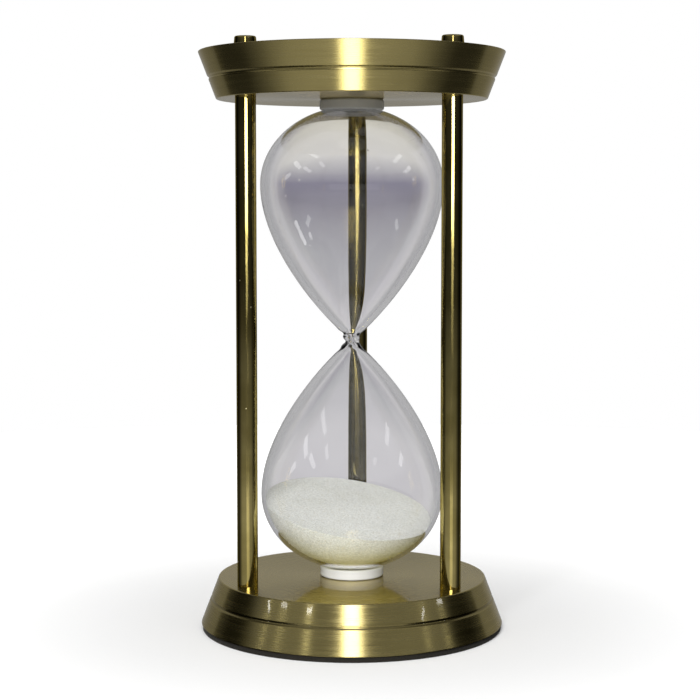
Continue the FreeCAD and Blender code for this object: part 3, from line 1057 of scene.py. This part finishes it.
rear_tube = maths(room, "MULTIPLY", bounced, both_ways)
on_card = maths(room, "MULTIPLY", rear_tube, spread(room, frontness, *TUBE_CARD_EDGE))
quiet = blend_colours(room, rear_tube, lit, TUBE_DARK)
carded = blend_colours(room, on_card, quiet, grey_ramp(card_height, TUBE_CARD), "ADD")
through = blend_colours(room, straight, carded, card)
shown = blend_colours(room, seen_by["Is Camera Ray"], through, grey(1.0))
backdrop = add(room, "Background", {"Color": shown, "Strength": 1.0})
add(room, "OutputWorld", {"Surface": backdrop.outputs[0]})
print("room nodes:", len(room.nodes))

# %% [markdown]
# ## Lamps
# All lamps are soft panels. In a studio, flags keep a panel's light to a part of the object; here each
# panel is linked to a group of pieces. It is given by the compass direction it stands in and by its
# glow, so its size can change without its brightness. The glass casts no shadow, to let the panels
# reach the sand.

# %% Groups and panels
MIDDLE = (cad_low.z + cad_high.z) / 2
WHITE, WARM, COOL = (1.0, 1.0, 1.0), (1.0, 0.98, 0.88), (0.98, 0.98, 1.10)


def group_of(name, members):
    """A collection that a panel can be kept to."""
    group = bpy.data.collections.new(name)
    for member in members:
        group.objects.link(member)
    return group


def panel(name, azimuth, elevation, distance, width, height, glow, only, tint=WHITE, look_at=MIDDLE,
          roll=0.0):
    """A soft panel that looks at a height on the axis from a compass direction; 0 is the front."""
    turn, lift = math.radians(azimuth), math.radians(elevation)
    back = Vector((math.sin(turn) * math.cos(lift), -math.cos(turn) * math.cos(lift), math.sin(lift)))
    lamp = bpy.data.lights.new(name, "AREA")
    lamp.shape, lamp.size, lamp.size_y = "RECTANGLE", width, height
    lamp.energy, lamp.color = glow * math.pi * width * height, tint
    holder = bpy.data.objects.new(name, lamp)
    holder.location = Vector((0.0, 0.0, look_at)) + back * distance
    rolled = back.to_track_quat("Z", "Y") @ Quaternion(UP, math.radians(roll))
    holder.rotation_euler = rolled.to_euler()
    holder.visible_camera = False
    holder.visible_transmission = False
    holder.light_linking.receiver_collection = only
    bpy.context.scene.collection.objects.link(holder)
    return holder


blown_bulbs.visible_shadow = False
blown_bulbs.visible_diffuse = False
plates_only = group_of("plates_only", [brass_base_plate, brass_top_plate, nodes["base_cover"],
                                       nodes["top_cover"]])
base_only = group_of("base_only", [brass_base_plate])
rear_only = group_of("rear_only", brass_pillars[:1])
tubes_only = group_of("tubes_only", brass_pillars[1:])
upper_only = group_of("upper_only", [white_upper_seat])
caps_only = group_of("caps_only", brass_caps)
glass_only = group_of("glass_only", [blown_bulbs])
sand_only = group_of("sand_only", [settled_sand])
seat_only = group_of("seat_only", [white_lower_seat])
plain_only = group_of("plain_only", [white_lower_seat, floor_sheet, nodes["base_pad"]])
print("groups:", len(bpy.data.collections))

# %% [markdown]
# Matt pieces take broad panels from above and in front. The lacquered and polished ones mirror a panel
# as a line, so the panel's width is the width of the line: a tall one for the plates, short ones for
# the caps and the pillars. Behind glass a linked panel is only counted in full when it isn't sampled in
# two ways, so multiple importance sampling is off for the rear pillar's.

# %% Panels for matt pieces and for brass
FAR, NEAR = 1.5, 1.3
panel("overhead", 0.0, 88.0, FAR, 1.6, 1.6, 2.5, plain_only)
panel("front_high", -8.0, 36.0, FAR, 0.6, 0.6, 12.0, plain_only)
panel("sand_overhead", 0.0, 88.0, FAR, 1.6, 1.6, 0.5, sand_only)
panel("sand_front", -4.0, 21.0, FAR, 0.8, 0.5, 31.0, sand_only, (0.97, 1.0, 1.0))
panel("seat_fill", 0.0, -8.0, FAR, 0.5, 0.3, 2.2, upper_only)
for name, width, height, glow, middle in (("rear_line", 0.95, 0.075, 20.0, 0.215),
                                          ("rear_line_dim", 0.60, 0.15, 3.5, 0.097)):
    rear = panel(name, 0.0, 0.0, NEAR, width, height, glow, rear_only, WARM, middle)
    rear.data.cycles.use_multiple_importance_sampling = False
panel("seat_line", 0.0, 10.0, FAR, 0.5, 0.3, 27.0, seat_only, (0.98, 1.0, 1.06))
panel("tall_line_high", 3.0, 34.0, NEAR, 0.26, 1.1, 6.5, plates_only, COOL)
panel("tall_soft_high", 3.0, 34.0, NEAR, 0.42, 1.1, 1.6, plates_only, WARM)
panel("tall_line_low", 3.0, -30.0, NEAR, 0.26, 1.0, 5.6, plates_only, WARM)
panel("tall_soft_low", 3.0, -30.0, NEAR, 0.44, 1.0, 1.6, plates_only, WARM)
panel("cap_line", 4.0, 15.5, NEAR, 0.16, 0.10, 6.0, caps_only, WARM, 0.23)
panel("tube_line", 10.0, 0.0, NEAR, 0.60, 0.28, 8.0, tubes_only, WARM, 0.282)
panel("tube_line_dim", 10.0, 0.0, NEAR, 0.45, 0.09, 0.65, tubes_only, WARM, 0.096)
panel("tube_foot", 10.0, 0.0, NEAR, 0.70, 0.12, 0.5, tubes_only, WARM, -0.21)
print("lamps so far:", len(bpy.data.lights))

# %% [markdown]
# A glass bulb mirrors the whole room, so each bright thing beside it becomes a fleck. Small panels to
# the sides make them: a long thin one gives a long thin fleck, and roll leans it.

# %% Flecks on the glass
FLECK_DISTANCE = 1.2
FLECKS = {  # azimuth, elevation, length, width, roll, glow
    "left_a": (-74.0, 28.0, 0.30, 0.10, -28.0, 3.5),
    "left_b": (-56.0, 24.0, 0.28, 0.09, -28.0, 3.5),
    "left_c": (-37.0, 33.0, 0.20, 0.08, -50.0, 3.0),
    "left_d": (-60.0, 45.0, 0.40, 0.08, -14.0, 3.0),
    "left_e": (-84.0, 13.0, 0.22, 0.10, 40.0, 3.0),
    "left_low": (-82.0, -30.0, 0.30, 0.11, 90.0, 5.5),
    "left_under": (-66.0, -37.0, 0.14, 0.09, 90.0, 4.0),
    "left_mid": (-61.0, -27.0, 0.20, 0.08, 35.0, 3.0),
    "right_a": (79.0, 22.0, 0.28, 0.10, 30.0, 3.5),
    "right_b": (72.0, 38.0, 0.36, 0.09, 24.0, 3.0),
    "right_c": (88.0, 11.0, 0.22, 0.09, 35.0, 3.0),
    "right_d": (37.0, 28.0, 0.12, 0.08, 30.0, 2.0),
    "right_low": (90.0, -30.0, 0.30, 0.11, 65.0, 5.5),
    "right_mid": (71.0, -29.0, 0.18, 0.08, -35.0, 3.0),
}
for name, (azimuth, elevation, length, width, roll, glow) in FLECKS.items():
    panel("fleck_" + name, azimuth, elevation, FLECK_DISTANCE, length, width, glow, glass_only, roll=roll)
print("flecks:", len(FLECKS))

# %% [markdown]
# The lacquer on the base mirrors small far windows as short bright curls. The last light isn't a lamp
# on the real object: the deck throws a warm glow up at the sand, and a weak disc stands for it.

# %% Windows and the deck's glow
WINDOW_HEIGHT = 0.010
WINDOW_AIM = 0.014
WINDOWS = {  # azimuth, elevation, width, roll, glow
    "one": (-33.0, 27.0, 0.09, 0.0, 24.0),
    "two": (-33.0, 26.0, 0.09, 8.0, 24.0),
    "three": (-70.0, 20.0, 0.08, 0.0, 18.0),
    "four": (-56.0, 23.0, 0.12, 9.0, 14.0),
    "five": (82.0, 19.0, 0.12, -14.0, 12.0),
    "six": (64.0, 22.0, 0.08, 0.0, 14.0),
}
for name, (azimuth, elevation, width, roll, glow) in WINDOWS.items():
    panel("window_" + name, azimuth, elevation, NEAR, width, WINDOW_HEIGHT, glow, base_only,
          look_at=WINDOW_AIM, roll=roll)
deck_glow = panel("deck_glow", 0.0, -90.0, 0.0, 0.09, 0.09, 0.28, sand_only, (1.0, 0.90, 0.10),
                  base_deck_z + 0.5 * MM)
deck_glow.data.shape = "DISK"
deck_glow.visible_glossy = False
print("lamps:", len(bpy.data.lights))

# %% [markdown]
# ## The view
# The dressed hourglass must stay in the CAD model's box. White stays white with the standard view.

# %% View transform
bpy.context.scene.view_settings.view_transform = "Standard"
